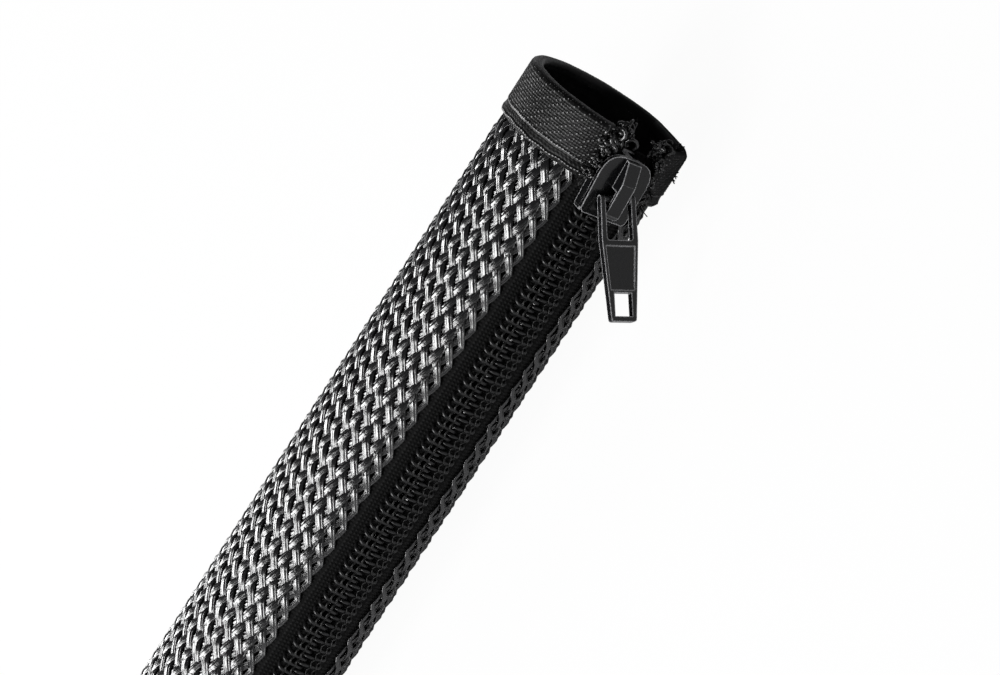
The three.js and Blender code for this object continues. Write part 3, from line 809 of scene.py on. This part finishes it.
def meltEnds():
    points, faces, count = [], [], 0
    for (fromRim, out, up), size, thickness, curls in cutEnds["clusters"]:
        centre = place(rimX - fromRim, out, up).reshape(3)
        for k in range(curls):
            # a curl: most of a small ring, tipped at random, pulled flat against the band
            tip = unit(rng.normal(0, 1, 3) * (0.6, 1.0, 0.6))
            first = unit(np.cross(tip, rng.normal(0, 1, 3)))
            second = np.cross(tip, first)
            radius = size * rng.uniform(0.16, 0.36)
            sweep = np.linspace(0, rng.uniform(2.2, 5.2), 9)
            middle = centre + rng.normal(0, 1, 3) * size * (0.3, 0.2, 0.3)
            path = middle + radius * (np.cos(sweep)[:, None] * first + np.sin(sweep)[:, None] * second)
            thick = thickness * rng.uniform(0.75, 1.25) * (0.75 + 0.35 * np.sin(np.linspace(0.4, 2.6, 9)))
            mesh, added = tubeFrame(path, thick, 7, count)
            points.append(mesh)
            faces += added
            count += len(mesh)
        for k in range(curls + 4):
            bead, added = beadMesh(centre + rng.normal(0, 1, 3) * size * (0.34, 0.18, 0.34),
                                   cutEnds["beadSize"] * rng.uniform(0.7, 1.5), count)
            points.append(bead)
            faces += added
            count += len(bead)
    addMesh("melted_ends", np.vstack(points), faces, "sleeve", finishes["melted"])


def beadMesh(centre, radius, start):
    # a lumpy bead
    rows, around = 6, 8
    tall = np.linspace(0.12, math.pi - 0.12, rows)
    turnAt = np.arange(around) * turn / around
    stretch = rng.uniform(0.7, 1.35, 3)
    shell = np.stack([
        np.sin(tall)[:, None] * np.cos(turnAt)[None],
        np.sin(tall)[:, None] * np.sin(turnAt)[None],
        np.cos(tall)[:, None] * np.ones(around)[None],
    ], axis=-1).reshape(-1, 3)
    shell = shell * stretch * radius * (1 + rng.normal(0, 0.07, len(shell)))[:, None]
    faces = [face[::-1] for face in ringFaces(rows, around, start)]
    return centre + shell, faces


fray = dict(
    # where each tuft starts (from the rim, out, up), which way it points, its length and number of yarns
    tufts=(
        ((-0.2, 8.2, -9.2), (0.9, -0.1, -0.3), 1.3, 9),
        ((3.0, 11.0, -9.2), (0.2, -0.5, -0.9), 0.9, 7),
        ((6.4, 12.7, -6.3), (-0.1, -0.9, -0.7), 0.8, 6),
        ((9.0, 12.8, -6.2), (-0.9, -0.5, -0.3), 0.9, 8),
        ((9.0, 12.9, 5.7), (-0.9, -0.4, 0.2), 1.0, 8),
        ((3.6, 12.9, 5.0), (-0.2, -0.8, -0.6), 0.9, 7),
        ((0.2, 12.3, -5.6), (0.7, -0.6, 0.2), 0.8, 7),
    ),
    yarn=0.19,
)


def frayEnds():
    points, faces, count = [], [], 0
    for (fromRim, out, up), way, length, yarns in fray["tufts"]:
        for k in range(yarns):
            start = place(rimX - fromRim, out, up).reshape(3) + rng.normal(0, 0.25, 3)
            heading = unit(np.array(way) + rng.normal(0, 0.45, 3))
            bend = rng.normal(0, 0.5, 3)
            t = np.linspace(0, 1, 6)[:, None]
            path = start + heading * t * length * rng.uniform(0.5, 1.0) + bend * t ** 2 * 0.6
            mesh, added = tubeFrame(path, np.full(6, fray["yarn"] * rng.uniform(0.7, 1.3)), 5, count)
            points.append(mesh)
            faces += added
            count += len(mesh)
    addMesh("frayed_yarns", np.vstack(points), faces, "sleeve", finishes["thread"])


meltEnds()
frayEnds()
print("cut ends melted and frayed")

# the tapes: flat beside the coil, then under the tube's edge
tape = dict(
    inner=1.25,
    shoulder=5.0,
    thickness=0.55,
    underBraid=12.25,
    hemAngle=math.radians(40.6),
    halfLength=148.32,
    rib=0.42,  # along the zipper, from one rib to the next
    relief=0.03,
    selvedge=0.07,
)


def tapeProfile():
    # across the tape: its face from the inner edge to the hem, then back along the underside
    flatUp = np.linspace(tape["inner"], tape["shoulder"], 9)
    flat = np.stack([np.full(9, tapeLevel), flatUp], axis=-1)
    firstAngle = math.asin(tape["shoulder"] / tape["underBraid"]) + 0.03
    arc = np.linspace(firstAngle, tape["hemAngle"], 3)[:, None]
    hem = np.hstack([np.cos(arc), np.sin(arc)])
    face = np.vstack([flat, hem * tape["underBraid"]])
    under = np.vstack([hem[::-1] * (tape["underBraid"] - 0.5), flat[::-4] - (tape["thickness"], 0)])
    return face, under


def weaveTapes():
    face, under = tapeProfile()
    x = np.arange(-tape["halfLength"], tape["halfLength"], tape["rib"] * 0.9)
    for name, side in (("tape_upper", 1), ("tape_lower", -1)):
        travelled = np.concatenate([[0], np.cumsum(np.linalg.norm(np.diff(face, axis=0), axis=1))])
        row = np.arange(len(x))[:, None]
        rib = tape["relief"] * ((row + np.arange(len(face))) % 2)
        edge = tape["selvedge"] * np.exp(-((travelled - 0.3) / 0.22) ** 2)
        lines = 0.04 * np.exp(-((travelled - 2.1) / 0.2) ** 2)
        lift = rib + edge + lines - tape["relief"] - tape["selvedge"] + rng.normal(0, 0.004, rib.shape)
        out = np.concatenate([face[:, 0] + lift, np.broadcast_to(under[:, 0], (len(x), len(under)))], axis=1)
        up = np.concatenate([face[:, 1], under[:, 1]])
        rings = place(x[:, None], out, side * up)
        faces = ringFaces(len(x), rings.shape[1], 0)
        if side > 0:
            faces = [corners[::-1] for corners in faces]
        node = "zipper_" + name
        # the tape is under 10 mm wide
        addMesh(name, rings.reshape(-1, 3), faces, "sleeve", finishes["tape"], (node,))


weaveTapes()
print("tapes woven")

# stop, slider and pull keep their solids and get their finish and soft edges
carried = dict(
    bottom_stop=("coil", 0.25),
    slider_body=("paint", 0.16),
    slider_crown=("paint", 0.2),
    slider_lock_spring=("spring", 0.04),
    pull_tab=("paint", 0.24),
)


def smoothShading():
    # done by a modifier, so that the solids' own meshes stay as they came
    group = bpy.data.node_groups.new("smooth shading", "GeometryNodeTree")
    for way in ("INPUT", "OUTPUT"):
        group.interface.new_socket("Geometry", in_out=way, socket_type="NodeSocketGeometry")
    start = group.nodes.new("NodeGroupInput")
    smooth = group.nodes.new("GeometryNodeSetShadeSmooth")
    end = group.nodes.new("NodeGroupOutput")
    group.links.new(start.outputs[0], smooth.inputs[0])
    group.links.new(smooth.outputs[0], end.inputs[0])
    return group


def finishSolids():
    shading = smoothShading()
    for node, (finish, bevel) in carried.items():
        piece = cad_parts[node]
        piece.data.materials.clear()
        piece.data.materials.append(finishes[finish])
        if bevel:
            piece.modifiers.new("smooth shading", "NODES").node_group = shading
            flat = piece.modifiers.new("flatten", "DECIMATE")
            flat.decimate_type = "DISSOLVE"
            flat.angle_limit = math.radians(1)
            soft = piece.modifiers.new("soft edges", "BEVEL")
            soft.width = bevel * mm
            soft.segments = 3
            soft.limit_method = "ANGLE"
            soft.angle_limit = math.radians(28)
            soft.harden_normals = False
            even = piece.modifiers.new("even shading", "WEIGHTED_NORMAL")
            even.keep_sharp = False


finishSolids()
print("stop, slider and pull finished")
